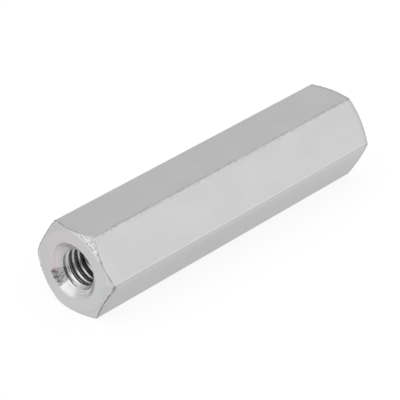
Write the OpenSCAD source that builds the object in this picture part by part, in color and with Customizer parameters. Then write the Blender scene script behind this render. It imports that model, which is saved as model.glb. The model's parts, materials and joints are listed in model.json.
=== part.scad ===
// Hexagonal standoff, female at both ends: a length of hexagonal bar with turned and
// chamfered ends, and a countersunk blind tapped hole in each end face.
// It lies along X on one of its flats. The origin is the centre of its footprint.

/* [Hex bar] */
// Width across the flats
across_flats = 8; // [7:0.5:16]
// Length between the two end faces
bar_length = 35; // [30:1:100]
// Rounding radius of the six long corners
corner_r = 0.4; // [0.1:0.05:0.6]

/* [End chamfers] */
// Distance from the middle of each flat in to the rim of the turned end face
face_inset = 0.3; // [0.05:0.05:0.5]
// Angle between the chamfer and the end face
chamfer_angle = 30; // [15:5:45]

/* [Tapped holes] */
// Bore that the tap drill leaves inside the thread
tap_drill_d = 3.3; // [2.5:0.1:4.2]
// Depth of the bore at its full diameter, from the end face
drill_depth = 12; // [6:0.5:13]
// Included angle of the drill point at the bottom of the bore
drill_point_angle = 118; // [100:2:140]
// Diameter of the countersink at the end face
countersink_d = 5.3; // [4.4:0.1:5.8]
// Included angle of the countersink
countersink_angle = 90; // [60:10:120]

/* [Hidden] */
// A hexagon's sides, and the angle that each of them turns through
sides = 6;
side_angle = 360 / sides;
// Strips in each rounded corner
corner_strips = 6;
// Facets of a full turn in the preview of a turned surface
turn_facets = 96;
// How far a cut or an untrimmed bar runs past the end face
overrun = 0.5;
flat_distance = across_flats / 2;
// Distance from the bar's axis to the centre of each corner's rounding, and to the unrounded corner
corner_centre = (flat_distance - corner_r) / cos(side_angle / 2);
sharp_corner = flat_distance / cos(side_angle / 2);
face_r = flat_distance - face_inset;
// Length of the chamfer, as far as the unrounded corner
chamfer_length = (sharp_corner - face_r) * tan(chamfer_angle);
bore_r = tap_drill_d / 2;
countersink_r = countersink_d / 2;
countersink_slope = tan(countersink_angle / 2);
countersink_depth = (countersink_r - bore_r) / countersink_slope;
point_depth = bore_r / tan(drill_point_angle / 2);

function toward(angle) = [cos(angle), sin(angle)];

// Points of the rounded corner that lies in the direction given, in order round the bar
function corner_arc(direction) = [
  for (step = [0 : corner_strips])
    let (angle = direction + side_angle * (step / corner_strips - 1 / 2))
    corner_centre * toward(direction) + corner_r * toward(angle)
];

// Section of the drawn bar, with two of its flats square to X
module hex_section() {
  polygon([for (side = [0 : sides - 1]) each corner_arc(side_angle * (side + 1 / 2))]);
}

// Drawn bar before its ends are turned, along Z and a little too long
module drawn_bar() {
  translate([0, 0, -overrun])
    linear_extrude(bar_length + 2 * overrun)
      hex_section();
}

// What turning leaves: two flat end faces, with a cone from the rim of each out past the corners
module turned_envelope() {
  rotate_extrude($fn = turn_facets)
    polygon([
      [0, 0],
      [face_r, 0],
      [sharp_corner, chamfer_length],
      [sharp_corner, bar_length - chamfer_length],
      [face_r, bar_length],
      [0, bar_length]
    ]);
}

// Countersink, bore and drill point, cut upwards from an end face at Z = 0
module tapped_hole() {
  rotate_extrude($fn = turn_facets)
    polygon([
      [0, -overrun],
      [countersink_r + overrun * countersink_slope, -overrun],
      [bore_r, countersink_depth],
      [bore_r, drill_depth],
      [0, drill_depth + point_depth]
    ]);
}

// The whole piece along Z, as it is turned, with its first end face at Z = 0
module turned_piece() {
  difference() {
    intersection() {
      drawn_bar();
      turned_envelope();
    }
    tapped_hole();
    translate([0, 0, bar_length])
      mirror([0, 0, 1])
        tapped_hole();
  }
}

module standoff() {
  color("gainsboro")
    translate([-bar_length / 2, 0, flat_distance])
      rotate([0, 90, 0])
        turned_piece();
}

standoff();
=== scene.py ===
import json
import math

import bmesh
import bpy
import numpy as np
from mathutils import Matrix, Vector


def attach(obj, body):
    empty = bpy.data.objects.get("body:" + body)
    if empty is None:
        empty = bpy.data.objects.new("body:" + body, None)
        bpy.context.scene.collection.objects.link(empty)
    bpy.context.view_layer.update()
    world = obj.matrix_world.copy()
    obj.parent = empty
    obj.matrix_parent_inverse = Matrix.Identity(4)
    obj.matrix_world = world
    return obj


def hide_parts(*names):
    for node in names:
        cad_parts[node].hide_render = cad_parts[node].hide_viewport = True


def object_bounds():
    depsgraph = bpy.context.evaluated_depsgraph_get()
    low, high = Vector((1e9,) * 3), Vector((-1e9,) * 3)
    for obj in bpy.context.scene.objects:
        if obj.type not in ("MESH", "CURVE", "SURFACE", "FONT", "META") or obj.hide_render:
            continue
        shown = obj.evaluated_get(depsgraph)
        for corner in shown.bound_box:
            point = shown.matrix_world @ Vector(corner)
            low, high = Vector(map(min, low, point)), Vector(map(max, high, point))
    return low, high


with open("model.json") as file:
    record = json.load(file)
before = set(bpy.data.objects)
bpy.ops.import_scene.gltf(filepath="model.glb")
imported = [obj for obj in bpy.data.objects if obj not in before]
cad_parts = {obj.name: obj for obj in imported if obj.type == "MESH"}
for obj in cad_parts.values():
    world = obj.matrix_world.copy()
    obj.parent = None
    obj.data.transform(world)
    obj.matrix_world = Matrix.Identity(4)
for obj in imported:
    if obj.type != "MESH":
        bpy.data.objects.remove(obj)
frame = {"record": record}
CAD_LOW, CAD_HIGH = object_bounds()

# Sizes are in millimetres. A mesh is scaled to metres when it is made.
MM = 0.001
LENGTH = (CAD_HIGH.x - CAD_LOW.x) / MM
ACROSS_FLATS = (CAD_HIGH.z - CAD_LOW.z) / MM
AXIS_HEIGHT = ACROSS_FLATS / 2
MOUNTS = {mount["name"]: mount for mount in frame["record"]["mounts"]}
BORE_R = MOUNTS["tapped_hole_left"]["dims"]["r_mm"]

# Materials, in the order of the mesh's slots
DRAWN, EDGE, FACED, CHAMFERED, COUNTERSUNK, TAPPED = range(6)

# Hexagonal bar: its section, the columns of vertices in each corner and flat, and its rows along X
SIDES = 6
SIDE_ANGLE = math.tau / SIDES
CORNER_R = 0.4
CORNER_STEPS = 8
FLAT_STEPS = 88
BAR_ROWS = 3

# Turned end face, with its rings of vertices and its broken rim
FACE_INSET = 0.3
FACE_R = ACROSS_FLATS / 2 - FACE_INSET
FACE_RADII = (2.85, 3.05, 3.25, 3.45)
RIM_BREAK = 0.03
RIM_DROP = 0.2 * RIM_BREAK

# Chamfer: its slope, its rows as shares of its width, and how tool chatter ripples it. The chatter
# changes over CHATTER_SPREAD columns, and is full where the chamfer is CHATTER_FADE wide.
CHAMFER_SLOPE = math.tan(math.radians(30))
CHAMFER_SHARES = (0.25, 0.5, 0.75, 1.0)
CHATTER = 0.005
CHATTER_SPREAD = 1.4
CHATTER_FADE = 0.3

# Burred edge between chamfer and flats. Each row has its distance in from the flats and its depth past
# the edge, both in edge widths, its share of the burr, and its material.
EDGE_WIDTH = 0.08
EDGE_ROWS = ((0.15, 0, 0.3, EDGE), (0, 0.3, 1, EDGE), (0, 1.5, 0, DRAWN))
BAR_START = 6 * EDGE_WIDTH
BURR = 0.016
BURR_SPREAD = 0.8

# Seed of each end's chatter and burr, and the way that the end is turned
ENDS = ((11, 1), (47, -1))

# Countersink. It was cut in two passes: the inner one starts at STEP_R and is a little flatter.
COUNTERSINK_R = 2.65
COUNTERSINK_RIM = 0.04
COUNTERSINK_SLOPE = math.tan(math.radians(45))
STEP_R = 2.38
STEP_SLOPE = math.tan(math.radians(50))
STEP_DEPTH = (COUNTERSINK_R - STEP_R) / COUNTERSINK_SLOPE
STEP_BREAK = 0.02

# Drilled hole, with the rings of its point as shares of the bore's radius
DRILL_DEPTH = 12.0
DRILL_POINT_SLOPE = math.tan(math.radians(118 / 2))
POINT_SHARES = (0.7, 0.35, 0.12)

# Thread
PITCH = 0.7
MAJOR_R = 2.0
ROOT_FLAT = PITCH / 8
FLANK_SLOPE = math.tan(math.radians(30))
# How far from a sharp corner, along the radius, its rounding starts: at the root, the crest and the mouth
ROOT_BLEND = 0.08
CREST_BLEND = 0.15
MOUTH_BLEND = 0.02
# Depths at which the thread starts, at which it stops being full, and at which it has run out
THREAD_TOP = STEP_DEPTH + (STEP_R - MAJOR_R - MOUTH_BLEND) / STEP_SLOPE
THREAD_FULL_DEPTH = 9.6
THREAD_END = 11.2
# Depth of a groove's middle, in turns, where the angle round the axis is zero
THREAD_PHASE = 0.455
# Near its mouth the thread runs shallower than its pitch gives: by how much, and between which depths
# that dies away
MOUTH_SHIFT = 0.055
MOUTH_SHIFT_DEPTH = (0.85, 1.3)

# Helical grid of the threaded wall: columns, rows a turn, and turns before its mouth and past its bottom
HOLE_COLUMNS = 120
PITCH_ROWS = 18
GRID_LEAD = 2
GRID_TAIL = 4

# Distances in metres at which vertices are joined and edges dropped, and the sharpest angle that is shaded
# smooth
JOIN_DISTANCE = 1e-7
SHORTEST_EDGE = 1e-8
SMOOTH_ANGLE = math.radians(35)


# ---------------------------------------------------------------- shape of the bar

def periodic_noise(count, width, seed):
    """Smooth noise round a ring of count points, with a spread of 1, that changes over width points."""
    values = np.random.RandomState(seed).normal(size=count)
    steps = np.minimum(np.arange(count), count - np.arange(count))
    kernel = np.exp(-0.5 * (steps / width) ** 2)
    smooth = np.fft.ifft(np.fft.fft(values) * np.fft.fft(kernel)).real
    return smooth / smooth.std()


def hexagon_columns():
    """Angle and radius of each column of vertices round the bar, in order of rising angle."""
    corner_centre = (ACROSS_FLATS / 2 - CORNER_R) / math.cos(SIDE_ANGLE / 2)
    points = []
    for corner in range(SIDES):
        direction = corner * SIDE_ANGLE
        centre = corner_centre * np.array([math.cos(direction), math.sin(direction)])
        for step in range(CORNER_STEPS + 1):
            angle = direction + SIDE_ANGLE * (step / CORNER_STEPS - 0.5)
            points.append(centre + CORNER_R * np.array([math.cos(angle), math.sin(angle)]))
        start = points[-1]
        turn = direction + SIDE_ANGLE / 2
        across = np.array([-math.sin(turn), math.cos(turn)])
        width = -2 * start @ across
        points += [start + across * width * step / FLAT_STEPS for step in range(1, FLAT_STEPS)]
    y, z = np.array(points).T
    angle = np.arctan2(z, y) % math.tau
    order = np.argsort(angle)
    return angle[order], np.hypot(y, z)[order]


def face_rows(count):
    """Rows of the turned face from the countersink out to its rim, each as radius, depth and material."""
    radii = (*FACE_RADII, FACE_R - RIM_BREAK)
    rows = [(np.full(count, radius), np.zeros(count), FACED) for radius in radii]
    rows.append((np.full(count, FACE_R), np.full(count, RIM_DROP), FACED))
    return rows


def chamfer_rows(hex_r, seed):
    """Rows of the chamfer, rippled by tool chatter, and of the burred edge where it meets the flats."""
    count = len(hex_r)
    chatter = periodic_noise(count, CHATTER_SPREAD, seed)
    chatter = CHATTER * (chatter - chatter.min())
    burr = BURR * periodic_noise(count, BURR_SPREAD, seed + 1)
    width = hex_r - FACE_R - EDGE_WIDTH
    rows = []
    for share in CHAMFER_SHARES:
        ripple = chatter * np.clip(width * share / CHATTER_FADE, 0, 1)
        radius = FACE_R + width * share
        rows.append((radius, (radius - FACE_R) * CHAMFER_SLOPE + ripple, CHAMFERED))
    edge_depth = (hex_r - FACE_R) * CHAMFER_SLOPE
    for inset, past, share, material in EDGE_ROWS:
        rows.append((hex_r - inset * EDGE_WIDTH, edge_depth + past * EDGE_WIDTH + share * burr, material))
    return rows


def bar_rows(hex_r):
    """Rows along the drawn flats, from one end's edge to the middle of the bar."""
    start = (hex_r - FACE_R) * CHAMFER_SLOPE + BAR_START
    shares = np.arange(BAR_ROWS + 1) / BAR_ROWS
    return [(hex_r, start + (LENGTH / 2 - start) * share, DRAWN) for share in shares]


# ---------------------------------------------------------------- tapped hole

def smooth_max(a, b, blend):
    """The greater of a and b, rounded where they differ by less than blend."""
    return np.maximum(a, b) + np.maximum(blend - np.abs(a - b), 0) ** 2 / (4 * blend)


def thread_radius(offset):
    """Radius of the thread at an offset along the axis from the middle of a groove."""
    flank = MAJOR_R - (np.abs(offset) - ROOT_FLAT / 2) / FLANK_SLOPE
    groove = -smooth_max(-flank, -MAJOR_R, ROOT_BLEND)
    return smooth_max(groove, BORE_R, CREST_BLEND)


def countersink_radius(depth):
    outer = COUNTERSINK_R - depth * COUNTERSINK_SLOPE
    inner = STEP_R - (depth - STEP_DEPTH) * STEP_SLOPE
    return np.minimum(outer, inner)


def hole_radius(depth, turns):
    """Radius of the threaded wall and countersink at a depth and an angle in turns."""
    start, end = MOUTH_SHIFT_DEPTH
    shift = MOUTH_SHIFT * np.clip((end - depth) / (end - start), 0, 1) ** 2
    offset = ((depth + shift) / PITCH - turns - THREAD_PHASE + 0.5) % 1 - 0.5
    fade = np.clip((THREAD_END - depth) / (THREAD_END - THREAD_FULL_DEPTH), 0, 1)
    radius = np.minimum(thread_radius(offset * PITCH), BORE_R + (MAJOR_R - BORE_R) * fade)
    return smooth_max(radius, countersink_radius(depth), MOUTH_BLEND)


def hole_grid():
    """Helical grid of the threaded wall: depth and radius for each row and column, clamped to its ends."""
    end = int(DRILL_DEPTH / PITCH) + GRID_TAIL
    rows = np.arange(-GRID_LEAD * PITCH_ROWS, end * PITCH_ROWS) * PITCH / PITCH_ROWS
    turns = np.arange(HOLE_COLUMNS) / HOLE_COLUMNS
    depth = rows[:, None] + PITCH * (turns + THREAD_PHASE)
    depth = np.clip(depth, THREAD_TOP, DRILL_DEPTH)
    return depth, hole_radius(depth, turns)


# ---------------------------------------------------------------- mesh

class MeshParts:
    """Vertices in end coordinates (depth, and two square to the axis) and faces, gathered ring by ring."""

    def __init__(self):
        self.points = []
        self.faces = []
        self.materials = []

    def ring(self, depth, angle, radius):
        first = len(self.points)
        self.points += zip(depth, radius * np.cos(angle), radius * np.sin(angle))
        return np.arange(first, len(self.points))

    def round_ring(self, depth, angle, radius):
        count = len(angle)
        return self.ring(np.full(count, depth), angle, np.full(count, radius))

    def face(self, corners, material):
        self.faces.append(corners)
        self.materials.append(material)

    def band(self, inner, outer, material):
        """Quads between two rings of equal count."""
        for a, b, c, d in zip(inner, np.roll(inner, -1), np.roll(outer, -1), outer):
            self.face((a, b, c, d), material)

    def zipper(self, inner, inner_angle, outer, outer_angle, material):
        """Triangles between two rings of different counts, both in order of rising angle."""
        inner_angle = np.append(inner_angle, inner_angle[0] + math.tau)
        outer_angle = np.append(outer_angle, outer_angle[0] + math.tau)
        i = j = 0
        while i < len(inner) or j < len(outer):
            a, b = inner[i % len(inner)], outer[j % len(outer)]
            inner_left, outer_left = i < len(inner), j < len(outer)
            if not outer_left or (inner_left and inner_angle[i + 1] <= outer_angle[j + 1]):
                i += 1
                self.face((a, inner[i % len(inner)], b), material)
            else:
                j += 1
                self.face((a, outer[j % len(outer)], b), material)


def add_thread(parts, angle):
    """Threaded wall, as a helical grid whose last column meets the first one pitch further on."""
    depth, radius = hole_grid()
    grid = [parts.ring(d, angle, r) for d, r in zip(depth, radius)]
    on_cone = radius < countersink_radius(depth) + MOUTH_BLEND / 4
    for row in range(len(grid) - 1):
        here, below = grid[row], grid[row + 1]
        materials = np.where(on_cone[row + 1], COUNTERSUNK, TAPPED).tolist()
        for column in range(HOLE_COLUMNS - 1):
            corners = below[column], below[column + 1], here[column + 1], here[column]
            parts.face(corners, materials[column])
        if row + 1 + PITCH_ROWS < len(grid):
            lower, upper = grid[row + 1 + PITCH_ROWS], grid[row + PITCH_ROWS]
            parts.face((below[-1], lower[0], upper[0], here[-1]), materials[-1])


def add_drill_point(parts, angle):
    """Cone at the bottom of the hole."""
    below = parts.round_ring(DRILL_DEPTH, angle, BORE_R)
    for share in POINT_SHARES:
        level = DRILL_DEPTH + BORE_R * (1 - share) / DRILL_POINT_SLOPE
        ring = parts.round_ring(level, angle, BORE_R * share)
        parts.band(ring, below, TAPPED)
        below = ring
    tip = len(parts.points)
    parts.points.append((DRILL_DEPTH + BORE_R / DRILL_POINT_SLOPE, 0.0, 0.0))
    for here, there in zip(below, np.roll(below, -1)):
        parts.face((tip, there, here), TAPPED)


def add_countersink(parts, angle):
    """Countersink from the thread out to its broken rim. Returns the rim's ring."""
    inner = parts.round_ring(THREAD_TOP, angle, countersink_radius(THREAD_TOP))
    levels = (
        (THREAD_TOP + STEP_DEPTH) / 2,
        STEP_DEPTH + STEP_BREAK,
        STEP_DEPTH - STEP_BREAK,
        STEP_DEPTH / 2,
        COUNTERSINK_RIM,
    )
    for level in levels:
        ring = parts.round_ring(level, angle, countersink_radius(level))
        parts.band(inner, ring, COUNTERSUNK)
        inner = ring
    rim = parts.round_ring(0.0, angle, COUNTERSINK_R + COUNTERSINK_RIM)
    parts.band(inner, rim, COUNTERSUNK)
    return rim


def build_end(seed):
    """One end of the bar in end coordinates, from the drill point out to the middle of the flats."""
    parts = MeshParts()
    round_angle = np.arange(HOLE_COLUMNS) / HOLE_COLUMNS * math.tau
    add_thread(parts, round_angle)
    add_drill_point(parts, round_angle)
    rim = add_countersink(parts, round_angle)
    angle, hex_r = hexagon_columns()
    rows = face_rows(len(hex_r)) + chamfer_rows(hex_r, seed) + bar_rows(hex_r)
    rings = [parts.ring(depth, angle, radius) for radius, depth, material in rows]
    parts.zipper(rim, round_angle, rings[0], angle, FACED)
    for inner, outer, (radius, depth, material) in zip(rings, rings[1:], rows[1:]):
        parts.band(inner, outer, material)
    return parts


def standoff_mesh():
    """The whole bar: two ends that meet in the middle, the second turned half round about Z."""
    points, faces, materials = [], [], []
    for seed, turned in ENDS:
        parts = build_end(seed)
        depth, across, up = np.array(parts.points).T
        first = sum(len(block) for block in points)
        along = turned * (depth - LENGTH / 2)
        points.append(np.column_stack([along, turned * across, up + AXIS_HEIGHT]))
        faces += [[first + corner for corner in face] for face in parts.faces]
        materials += parts.materials
    mesh = bpy.data.meshes.new("hex_standoff")
    mesh.from_pydata((np.vstack(points) * MM).tolist(), [], faces)
    mesh.polygons.foreach_set("material_index", materials)
    clean_mesh(mesh)
    return mesh


def clean_mesh(mesh):
    """Joins coincident vertices, drops empty faces, and shades smooth except at the sharp edges."""
    work = bmesh.new()
    work.from_mesh(mesh)
    bmesh.ops.remove_doubles(work, verts=work.verts, dist=JOIN_DISTANCE)
    bmesh.ops.dissolve_degenerate(work, edges=work.edges, dist=SHORTEST_EDGE)
    bmesh.ops.recalc_face_normals(work, faces=work.faces)
    work.to_mesh(mesh)
    work.free()
    for polygon in mesh.polygons:
        polygon.use_smooth = True
    mesh.set_sharp_from_angle(angle=SMOOTH_ANGLE)


# ---------------------------------------------------------------- node trees

def rgba(value):
    """What a colour socket takes, for a grey level or a colour. A link stays as it is."""
    if isinstance(value, bpy.types.NodeSocket):
        return value
    if isinstance(value, float):
        return (value, value, value, 1)
    return (*value, 1)


class NodeTree:
    """Node tree of a material or a world. Its methods take links or plain values, and return a link."""

    def __init__(self, owner):
        owner.use_nodes = True
        self.nodes = owner.node_tree.nodes
        self.links = owner.node_tree.links

    def feed(self, socket, value):
        if isinstance(value, bpy.types.NodeSocket):
            self.links.new(value, socket)
        else:
            socket.default_value = value

    def node(self, kind, settings, inputs, result=0):
        made = self.nodes.new(kind)
        for name, value in settings.items():
            setattr(made, name, value)
        for key, value in inputs.items():
            self.feed(made.inputs[key], value)
        return made.outputs[result]

    def math(self, operation, a, b=0.0, c=0.0):
        return self.node("ShaderNodeMath", {"operation": operation}, {0: a, 1: b, 2: c})

    def product(self, first, *others):
        for other in others:
            first = self.math("MULTIPLY", first, other)
        return first

    def vector(self, operation, a, b=(0, 0, 0), scale=1.0):
        result = 1 if operation in ("LENGTH", "DOT_PRODUCT") else 0
        inputs = {0: a, 1: b, 3: scale}
        return self.node("ShaderNodeVectorMath", {"operation": operation}, inputs, result)

    def remap(self, value, low, high, to_low=0.0, to_high=1.0):
        """Smooth step from to_low, where the value is low, to to_high, where it is high."""
        inputs = {0: value, 1: low, 2: high, 3: to_low, 4: to_high}
        return self.node("ShaderNodeMapRange", {"interpolation_type": "SMOOTHSTEP"}, inputs)


class Surface(NodeTree):
    """Metal surface: places on it in millimetres, and a base colour that marks are painted over."""

    def __init__(self, name):
        self.material = bpy.data.materials.new(name)
        super().__init__(self.material)
        self.shader = self.nodes["Principled BSDF"]
        self.shader.inputs["Metallic"].default_value = 1
        metres = self.node("ShaderNodeTexCoord", {}, {}, "Object")
        millimetres = self.vector("SCALE", metres, scale=1 / MM)
        self.place = self.vector("SUBTRACT", millimetres, (0, 0, AXIS_HEIGHT))
        across = self.vector("MULTIPLY", self.place, (0, 1, 1))
        self.radius = self.vector("LENGTH", across)
        self.outward = self.vector("NORMALIZE", across)
        separate = self.nodes.new("ShaderNodeSeparateXYZ")
        self.feed(separate.inputs[0], self.place)
        self.along, self.left, self.up = separate.outputs
        self.end = self.math("ABSOLUTE", self.along)
        self.base = 1.0

    def noise(self, place, scale=1.0, detail=2.0, roughness=0.5):
        inputs = {"Vector": place, "Scale": scale, "Detail": detail, "Roughness": roughness}
        return self.node("ShaderNodeTexNoise", {}, inputs)

    def blend(self, factor, a, b):
        """Colour a where the factor is 0 and b where it is 1."""
        return self.node("ShaderNodeMix", {"data_type": "RGBA"}, {0: factor, 6: rgba(a), 7: rgba(b)}, 2)

    def paint(self, colour, *masks):
        """Lays a colour over the base colour, as far as the product of the masks."""
        self.base = self.blend(self.product(*masks), self.base, colour)

    def turned_place(self, per_radius, around):
        """Place for noise on a turned surface: it changes per_radius a millimetre out, and around a turn."""
        outwards = self.math("MULTIPLY", self.radius, per_radius)
        offset = self.math("MULTIPLY_ADD", self.along, NOISE_DRIFT, outwards)
        spoke = self.vector("SCALE", self.outward, scale=around)
        start = self.node("ShaderNodeCombineXYZ", {}, {"X": offset})
        return self.vector("ADD", spoke, start)

    def facing(self, direction, low, high):
        """1 on the sides that face a direction square to the axis, and 0 on those that face away."""
        return self.remap(self.vector("DOT_PRODUCT", self.outward, direction), low, high)

    def cast(self):
        """How pink the plating looks, from 0 to 1: it drifts across each end, with soft clouds in it."""
        drift = self.vector("DOT_PRODUCT", self.place, CAST_DRIFT)
        clouds = self.noise(self.place, scale=0.4)
        return self.remap(self.math("ADD", drift, clouds), 0.3, 0.8)

    def bump(self, height, depth, below=None):
        """Normal of a surface whose height, from 0 to 1, spans a depth in millimetres."""
        inputs = {"Height": height, "Distance": depth * MM}
        if below is not None:
            inputs["Normal"] = below
        return self.node("ShaderNodeBump", {}, inputs)

    def spread_outward(self, amount):
        """Stretches reflections towards and away from the axis, as marks turned round it do."""
        self.shader.inputs["Anisotropic"].default_value = amount
        self.feed(self.shader.inputs["Tangent"], self.outward)

    def finish(self, roughness, normal):
        for name, value in (("Base Color", self.base), ("Roughness", roughness), ("Normal", normal)):
            self.feed(self.shader.inputs[name], value)
        return self.material


# ---------------------------------------------------------------- materials

# Directions square to the axis that marks are placed by. Y is to the left in the photo, and Z is up.
TOP = (0, 0, 1)
LEFT = (0, 1, 0)
UPPER_LEFT = (0, 0.87, 0.5)
# The side that faces the floor, where painted shade is laid
UNDERSIDE = (0, -0.5, -0.87)
# The long corner that is painted lighter, as a painted highlight, and the place beside it with a dark mark
HIGHLIT_CORNER = (0, -0.9997, -0.0262)
DARK_MARK_CORNER = (0, -0.9925, -0.1219)
# The sides of the chamfer that carry a painted highlight and painted shade
HIGHLIT_CHAMFER_SIDE = (0, -0.9, 0.43)
SHADED_CHAMFER_SIDE = (0, 0.3, 0.95)
# The side of the chamfer where the tool dug in, the radius at which it did, and how fast that radius grows to
# either side. Glints and highlights are painted on that side.
DUG_SIDE = (0, -0.498, 0.867)
DUG_R = 3.90
DUG_CURVE = 2.5
# The sides of the countersink where the tool chattered under a painted dark reflection, where it is stained,
# where a painted highlight lies towards the thread, and where a painted highlight lies on its lip
CHATTER_AND_REFLECTION_SIDE = (0, 0.83, -0.56)
STAINED_SIDE = (0, 0.98, -0.17)
RIGHT_HIGHLIGHT_SIDE = (0, -0.87, -0.5)
LIP_SIDE = (0, 0.26, 0.966)
# The sides of the thread whose first groove has painted shade, and whose grooves have painted light
DARK_GROOVE_SIDE = (0, 0.57, 0.82)
LIGHT_GROOVE_SIDE = (0, 0.1, -1)

# Where a mark begins and where it is full, in millimetres: radii, and then places to the left and up
CORNER_RADII = (4.44, 4.53)
HIGHLIT_CORNER_RADII = (4.40, 4.52)
DARK_MARK_FLAT_RADII = (4.22, 4.36)
DARK_MARK_CHAMFER_RADII = (4.26, 4.40)
OUTLINE_RADII = (4.22, 4.42)
SATIN_CHAMFER_RADII = (FACE_R + 0.1, FACE_R + 0.25)
DARK_REFLECTION_RADII = (2.0, 2.4)
STAIN_RADII = (2.1, 2.25)
RIGHT_HIGHLIGHT_RADII = (2.4, 2.1)
LIP_RADII = (2.12, 2.04)
GROOVE_RADII = (BORE_R + 0.05, MAJOR_R)
DARK_GROOVE_RADII = (BORE_R + 0.03, BORE_R + 0.18)
FACE_LEFT = (1.8, 3.7)
CHAMFER_LEFT = (2.4, 4.2)
GLINTING_BRIM = (3.75, 3.92)

# Distances from the middle of the bar between which marks begin and are full
THREAD_MOUTH = (LENGTH / 2 - 2.4, LENGTH / 2 - 0.6)
FIRST_GROOVE = (LENGTH / 2 - 1.1, LENGTH / 2 - 0.92)
NEAR_TIP = (0.85 - LENGTH / 2, 0.55 - LENGTH / 2)
# The same plus the radius times the chamfer's slope: at the edge where the chamfer meets the flats, and for
# the bands beside it that carry painted shade underneath and are dark at the far end
SCALLOP_EDGE = LENGTH / 2 + FACE_R * CHAMFER_SLOPE
UNDERSIDE_SHADE_BAND = (SCALLOP_EDGE - 0.9, SCALLOP_EDGE - 0.1)
DARK_BAND = (SCALLOP_EDGE - 0.55, SCALLOP_EDGE - 0.05)

# Painted shade that darkens the drawn flats towards their lower edges: a height that leans along the bar, and
# its range
LOW_LEAN = (0.02, 0, 1)
LOW_RANGE = (0.9, -2.4)
# How fast noise changes along each axis, for the lines that drawing left and for the clouds over them
LINE_GRAIN = (0.12, 7, 7)
CLOUD_GRAIN = (0.22, 0.4, 0.4)
# How far the noise of the turned surfaces moves on for each millimetre along the bar
NOISE_DRIFT = 0.37
# Change in the plating's cast for each millimetre across an end
CAST_DRIFT = (0, 0.065, 0.085)


def drawn_surface():
    """Cold drawn flats under satin zinc: faint drawing lines, soft clouds, nicked corners, a painted
    highlight on one long corner, painted shade towards the lower edges, and a dark mark at one near corner.
    """
    made = Surface("drawn_flats")
    lines = made.noise(made.vector("MULTIPLY", made.place, LINE_GRAIN), detail=3)
    clouds = made.noise(made.vector("MULTIPLY", made.place, CLOUD_GRAIN), detail=3)
    grain = made.noise(made.place, scale=16, detail=2)
    nicks = made.noise(made.place, scale=2.6, detail=3, roughness=0.7)
    specks = made.noise(made.place, scale=3.1, detail=4)
    made.base = made.blend(made.remap(clouds, 0.35, 0.65), (0.468, 0.468, 0.471), (0.485, 0.485, 0.489))
    made.paint(0.454, made.remap(lines, 0.3, 0.7, 0, 0.2))
    made.paint(0.38, made.remap(specks, 0.70, 0.76), 0.25)
    nicked = made.blend(made.remap(nicks, 0.40, 0.60), 0.34, 0.56)
    made.paint(nicked, made.remap(made.radius, *CORNER_RADII), 0.3)
    # Painted highlight: the long corner on the right is painted lighter
    corner_highlight = made.product(made.remap(made.radius, *HIGHLIT_CORNER_RADII), made.facing(HIGHLIT_CORNER, 0.995, 0.999))
    made.paint(0.54, corner_highlight)
    height = made.vector("DOT_PRODUCT", made.place, LOW_LEAN)
    # Painted shade towards the lower edges of the flats, leaving out the painted highlight on the corner
    made.paint(0.42, made.remap(height, *LOW_RANGE, 0, 0.8), made.math("SUBTRACT", 1.0, corner_highlight))
    paint_flats_ends(made, nicks)
    normal = made.bump(grain, 0.00006, made.bump(lines, 0.0012))
    return made.finish(made.remap(grain, 0.3, 0.7, 0.27, 0.29), normal)


def paint_flats_ends(made, nicks):
    """Flats beside the chamfers: painted shade underneath, dark at the far end, and a dark mark at one near
    corner.
    """
    scallop = made.math("MULTIPLY_ADD", made.radius, CHAMFER_SLOPE, made.end)
    # Painted shade on the underside beside each end's edge
    made.paint(0.36, made.remap(scallop, *UNDERSIDE_SHADE_BAND, 0, 0.5), made.facing(UNDERSIDE, 0.4, 0.75))
    far_end = made.math("GREATER_THAN", made.along, 0.0)
    made.paint(0.33, made.remap(scallop, *DARK_BAND, 0, 0.55), far_end)
    # A dark mark beside the right corner at the near end
    made.paint(
        0.10,
        made.remap(made.along, *NEAR_TIP),
        made.remap(made.radius, *DARK_MARK_FLAT_RADII),
        made.facing(DARK_MARK_CORNER, 0.988, 0.997),
        made.remap(nicks, 0.36, 0.54, 0.5, 0.85),
    )


def edge_surface():
    """Burred edge between chamfer and flats: painted dark as the burr's shade, darker on the underside and
    the upper left, lighter on top and at the corner where the tool dug in, with painted glints where the burr
    stands up.
    """
    made = Surface("burred_edge_shade")
    breaks = made.noise(made.place, scale=2.0, detail=3, roughness=0.65)
    glint_noise = made.noise(made.place, scale=9, detail=1)
    dots = made.noise(made.place, scale=2.6, detail=1)
    patches = made.remap(breaks, 0.40, 0.60)
    # Painted shade of the burr, deeper on the side that faces the floor
    edge_shade = made.blend(patches, 0.19, 0.41)
    underside_edge_shade = made.blend(patches, 0.14, 0.28)
    made.base = made.blend(made.facing(UNDERSIDE, 0.3, 0.6), edge_shade, underside_edge_shade)
    # Painted shade on the upper left, and painted highlights at the corner where the tool dug in and on top
    made.paint(0.20, made.facing(UPPER_LEFT, 0.4, 0.8))
    made.paint(0.46, made.facing(DUG_SIDE, 0.91, 0.97))
    made.paint(0.36, made.facing(TOP, 0.90, 0.97), made.remap(dots, 0.46, 0.56, 0.1, 1))
    # Painted glints where the burr stands up
    made.paint(0.85, made.remap(glint_noise, 0.63, 0.68))
    return made.finish(made.remap(breaks, 0.3, 0.7, 0.3, 0.5), made.bump(breaks, 0.01))


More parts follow.
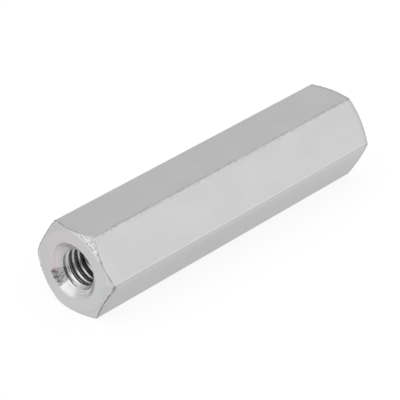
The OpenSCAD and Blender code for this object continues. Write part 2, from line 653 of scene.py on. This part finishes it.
def faced_surface():
    """Turned end face under satin zinc: fine concentric rings, a slight play of tints, and painted shade
    towards its left side.
    """
    made = Surface("turned_face")
    rings = made.noise(made.turned_place(22, 1.3), detail=2)
    grain = made.noise(made.place, scale=14, detail=2)
    made.base = made.blend(made.cast(), (0.590, 0.597, 0.596), (0.594, 0.573, 0.580))
    # Painted shade towards the left side of the face
    made.paint((0.556, 0.553, 0.554), made.remap(made.left, *FACE_LEFT, 0, 0.8))
    made.paint(0.52, made.remap(rings, 0.35, 0.7, 0, 0.2))
    normal = made.bump(grain, 0.001, made.bump(rings, 0.0012))
    return made.finish(made.remap(rings, 0.3, 0.7, 0.36, 0.44), normal)


def chamfer_surface():
    """Chamfer left by a form tool: satin, with fine chatter marks that sparkle where they face a light,
    painted highlights and glints, painted shade on its top and left side and along its left outline, and a
    dark mark at one corner.
    """
    made = Surface("turned_chamfer")
    chatter = made.noise(made.turned_place(3, 30), detail=3, roughness=0.6)
    specks = made.noise(made.place, scale=7, detail=3, roughness=0.75)
    nicks = made.noise(made.place, scale=4.5, detail=2)
    made.base = made.blend(made.cast(), (0.522, 0.526, 0.525), (0.530, 0.512, 0.518))
    made.paint(0.62, made.remap(specks, 0.38, 0.62, 0, 0.8))
    # Painted highlight on the front of the chamfer, painted shade on its top
    made.paint(0.66, made.facing(HIGHLIT_CHAMFER_SIDE, 0.86, 0.97), 0.5)
    made.paint(0.47, made.facing(SHADED_CHAMFER_SIDE, 0.6, 0.97), 0.4)
    # Painted glints along the top of the chamfer
    made.paint(0.72, made.remap(made.up, *GLINTING_BRIM), made.remap(nicks, 0.54, 0.62, 0, 0.7))
    # Painted shade on the left of the chamfer, deepest along its outline
    made.paint(0.40, made.remap(made.left, *CHAMFER_LEFT, 0, 0.35))
    made.paint(0.25, made.remap(made.radius, *OUTLINE_RADII, 0, 0.6), made.facing(LEFT, 0.9, 0.98))
    cut = dug_distance(made)
    paint_dug_corner(made, cut, specks)
    # The same dark mark on the chamfer
    dark_mark = made.remap(made.radius, *DARK_MARK_CHAMFER_RADII)
    made.paint(0.20, dark_mark, made.facing(DARK_MARK_CORNER, 0.988, 0.997), 0.7)
    made.paint(0.48, made.remap(chatter, 0.55, 0.7, 0, 0.3))
    rough = made.product(specks, made.remap(cut, -0.05, 0.15))
    normal = made.bump(rough, 0.045, made.bump(chatter, 0.004))
    return made.finish(made.remap(made.radius, *SATIN_CHAMFER_RADII, 0.42, 0.24), normal)


def dug_distance(made):
    """Distance in millimetres outside the line where the tool dug in."""
    toward = made.vector("DOT_PRODUCT", made.outward, DUG_SIDE)
    cut = made.math("MULTIPLY_ADD", toward, DUG_CURVE, made.radius)
    return made.math("SUBTRACT", cut, DUG_R + DUG_CURVE)


def paint_dug_corner(made, cut, specks):
    """Corner where the tool dug in: painted glints outside the line, a painted highlight on its ridge, and a
    broken line of painted shade.
    """
    dug = made.facing(DUG_SIDE, 0.86, 0.97)
    outside = made.product(dug, made.remap(cut, 0, 0.04))
    # Painted glints outside the line
    made.paint(0.42, outside, 0.6)
    made.paint(0.68, outside, made.remap(specks, 0.50, 0.60, 0, 0.9))
    # Painted highlight on the ridge
    made.paint(0.70, made.remap(cut, 0.12, 0.07), made.remap(cut, -0.01, 0.03), dug)
    # Painted shade in a broken line inside it
    groove = made.product(made.remap(cut, 0.01, -0.02), made.remap(cut, -0.12, -0.08))
    dashes = made.noise(made.turned_place(0.5, 16), detail=2)
    made.paint(0.24, groove, made.remap(dashes, 0.42, 0.54, 0.15, 0.75), dug)


def countersink_surface():
    """Countersink with turned rings, a pink cast, painted highlights towards the thread and on its lip, and a
    patch of chatter marks painted with a dark reflection.
    """
    made = Surface("countersink")
    made.spread_outward(0.9)
    rings = made.noise(made.turned_place(10, 1.4), detail=3, roughness=0.6)
    chatter = made.noise(made.turned_place(3.5, 20), detail=3, roughness=0.65)
    made.base = made.blend(made.cast(), (0.580, 0.583, 0.583), (0.618, 0.574, 0.588))
    made.paint((0.45, 0.45, 0.445), made.remap(rings, 0.42, 0.62, 0, 0.35))
    stain = made.remap(made.radius, *STAIN_RADII)
    made.paint((0.612, 0.545, 0.563), made.facing(STAINED_SIDE, 0.93, 0.99), stain)
    # Painted highlight towards the thread on the lower right
    right_highlight = made.remap(made.radius, *RIGHT_HIGHLIGHT_RADII)
    made.paint((0.85, 0.84, 0.84), right_highlight, made.facing(RIGHT_HIGHLIGHT_SIDE, 0.85, 0.97))
    # Painted highlight on the upper lip
    made.paint(0.87, made.facing(LIP_SIDE, 0.8, 0.95), made.remap(made.radius, *LIP_RADII), 0.8)
    # Painted dark reflection over the chatter marks, which are also bumped
    patch = made.facing(CHATTER_AND_REFLECTION_SIDE, 0.93, 0.98)
    marks = made.product(patch, made.remap(chatter, 0.47, 0.56, 0, 0.85))
    made.paint((0.11, 0.09, 0.08), marks, made.remap(made.radius, *DARK_REFLECTION_RADII, 0.5, 1))
    normal = made.bump(made.product(patch, chatter), 0.028, made.bump(rings, 0.024))
    return made.finish(made.remap(rings, 0.35, 0.65, 0.24, 0.32), normal)


def thread_surface():
    """Tapped thread: bright crests, streaked along the cut, with painted shade in its grooves, deeper in the
    hole and in the first groove, and painted light in the grooves on its lower side near the mouth.
    """
    made = Surface("thread")
    streaks = made.noise(made.turned_place(9, 5), detail=3, roughness=0.6)
    groove = made.remap(made.radius, *GROOVE_RADII)
    mouth = made.remap(made.end, *THREAD_MOUTH)
    # Painted shade: the grooves are darker than the crests, and both darken deeper in the hole
    crest = made.blend(mouth, 0.54, 0.64)
    root = made.blend(mouth, 0.16, 0.28)
    made.base = made.blend(groove, crest, root)
    # Painted shade in the first groove
    first = made.remap(made.end, *FIRST_GROOVE, 0, 0.75)
    wall = made.remap(made.radius, *DARK_GROOVE_RADII)
    made.paint(0.10, first, wall, made.facing(DARK_GROOVE_SIDE, -0.8, -0.5))
    # Painted light in the grooves on the lower side near the mouth
    made.paint(0.55, made.facing(LIGHT_GROOVE_SIDE, 0.9, 0.99), groove, mouth)
    made.paint(0.28, made.remap(streaks, 0.45, 0.7, 0, 0.3))
    return made.finish(made.remap(streaks, 0.3, 0.7, 0.24, 0.36), made.bump(streaks, 0.0015))


def make_standoff():
    """The piece, with its materials in the order of the mesh's slots."""
    piece = bpy.data.objects.new("hex_standoff", standoff_mesh())
    bpy.context.scene.collection.objects.link(piece)
    surfaces = (
        drawn_surface,
        edge_surface,
        faced_surface,
        chamfer_surface,
        countersink_surface,
        thread_surface,
    )
    for surface in surfaces:
        piece.data.materials.append(surface())
    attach(piece, "root")
    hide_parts("standoff")


# ---------------------------------------------------------------- stage, light and camera

# Floor: half its width and its gap below the piece, both in metres, and its own colour
FLOOR_HALF = 2.0
FLOOR_GAP = 0.00002
FLOOR_COLOUR = 0.95
# How much of the floor's look comes from its own white, which keeps its shadows faint
FLOOR_GLOW = 0.88


def make_floor():
    """White floor under the piece."""
    mesh = bpy.data.meshes.new("floor")
    corners = [(-FLOOR_HALF, -FLOOR_HALF, 0), (FLOOR_HALF, -FLOOR_HALF, 0)]
    corners += [(FLOOR_HALF, FLOOR_HALF, 0), (-FLOOR_HALF, FLOOR_HALF, 0)]
    mesh.from_pydata(corners, [], [(0, 1, 2, 3)])
    mesh.materials.append(floor_material())
    floor = bpy.data.objects.new("floor", mesh)
    floor.location.z = -FLOOR_GAP
    bpy.context.scene.collection.objects.link(floor)


def floor_material():
    """Matt white that glows a little to the camera, in gloss and through glass, and keeps faint shadows."""
    material = bpy.data.materials.new("white_floor")
    tree = NodeTree(material)
    shader = tree.nodes["Principled BSDF"]
    shader.inputs["Base Color"].default_value = rgba(FLOOR_COLOUR)
    shader.inputs["Roughness"].default_value = 1
    shader.inputs["Specular IOR Level"].default_value = 0
    rays = tree.nodes.new("ShaderNodeLightPath").outputs
    seen = rays["Is Camera Ray"]
    for name in ("Is Glossy Ray", "Is Transmission Ray"):
        seen = tree.math("MAXIMUM", seen, rays[name])
    share = tree.product(seen, FLOOR_GLOW)
    glow = tree.node("ShaderNodeEmission", {}, {})
    look = tree.node("ShaderNodeMixShader", {}, {0: share, 1: shader.outputs[0], 2: glow})
    tree.feed(tree.nodes["Material Output"].inputs["Surface"], look)
    return material


# Soft light round the object. Each lobe has the direction that it comes from, the angles from there at
# which it ends and at which it is full, in degrees, and what it adds to the plain level.
AMBIENT = 0.98
LIGHT_LOBES = (
    ((-0.66, 0.10, 0.74), 42, 18, 0.6),
    ((-0.966, 0.01, 0.255), 17, 6, 0.65),
    ((0.00, -1.00, 0.00), 86, 72, 0.32),
    ((0.30, -0.90, 0.28), 26, 16, 0.16),
    ((0.65, 0.05, 0.76), 22, 5, -0.12),
    ((-0.79, -0.36, 0.50), 14, 8, -1.28),
    ((-0.80, -0.52, 0.28), 22, 16, -1.28),
    ((-0.76, -0.64, 0.04), 16, 9, -1.28),
)


def make_world():
    """White light tent, at a plain level with soft lobes."""
    world = bpy.data.worlds.new("soft_tent")
    bpy.context.scene.world = world
    tree = NodeTree(world)
    direction = tree.node("ShaderNodeTexCoord", {}, {}, "Generated")
    level = AMBIENT
    for towards, end_angle, full_angle, strength in LIGHT_LOBES:
        near = tree.vector("DOT_PRODUCT", direction, Vector(towards).normalized())
        end, full = math.cos(math.radians(end_angle)), math.cos(math.radians(full_angle))
        level = tree.math("ADD", tree.remap(near, end, full, 0, strength), level)
    background = tree.nodes["Background"]
    background.inputs["Color"].default_value = rgba(1.0)
    tree.feed(background.inputs["Strength"], tree.math("MAXIMUM", level, 0))


# Camera: where it stands in millimetres, the directions to its right and above it, its lens and sensor
# in millimetres, and its clip distances in metres
CAMERA_PLACE = Vector((-142.970, -126.491, 110.284))
CAMERA_RIGHT = Vector((0.66407, -0.74766, -0.00404))
CAMERA_UP = Vector((0.36717, 0.32141, 0.87286))
CAMERA_LENS = 220.83
CAMERA_SENSOR = 36
CAMERA_CLIP = (0.01, 20)


def make_camera():
    data = bpy.data.cameras.new("camera")
    data.sensor_width = CAMERA_SENSOR
    data.lens = CAMERA_LENS
    data.clip_start, data.clip_end = CAMERA_CLIP
    camera = bpy.data.objects.new("camera", data)
    bpy.context.scene.collection.objects.link(camera)
    right = CAMERA_RIGHT.normalized()
    back = right.cross(CAMERA_UP).normalized()
    turn = Matrix((right, back.cross(right), back)).transposed()
    camera.matrix_world = Matrix.Translation(CAMERA_PLACE * MM) @ turn.to_4x4()
    bpy.context.scene.camera = camera


bpy.context.scene.view_settings.view_transform = "Standard"
make_standoff()
make_floor()
make_world()
make_camera()
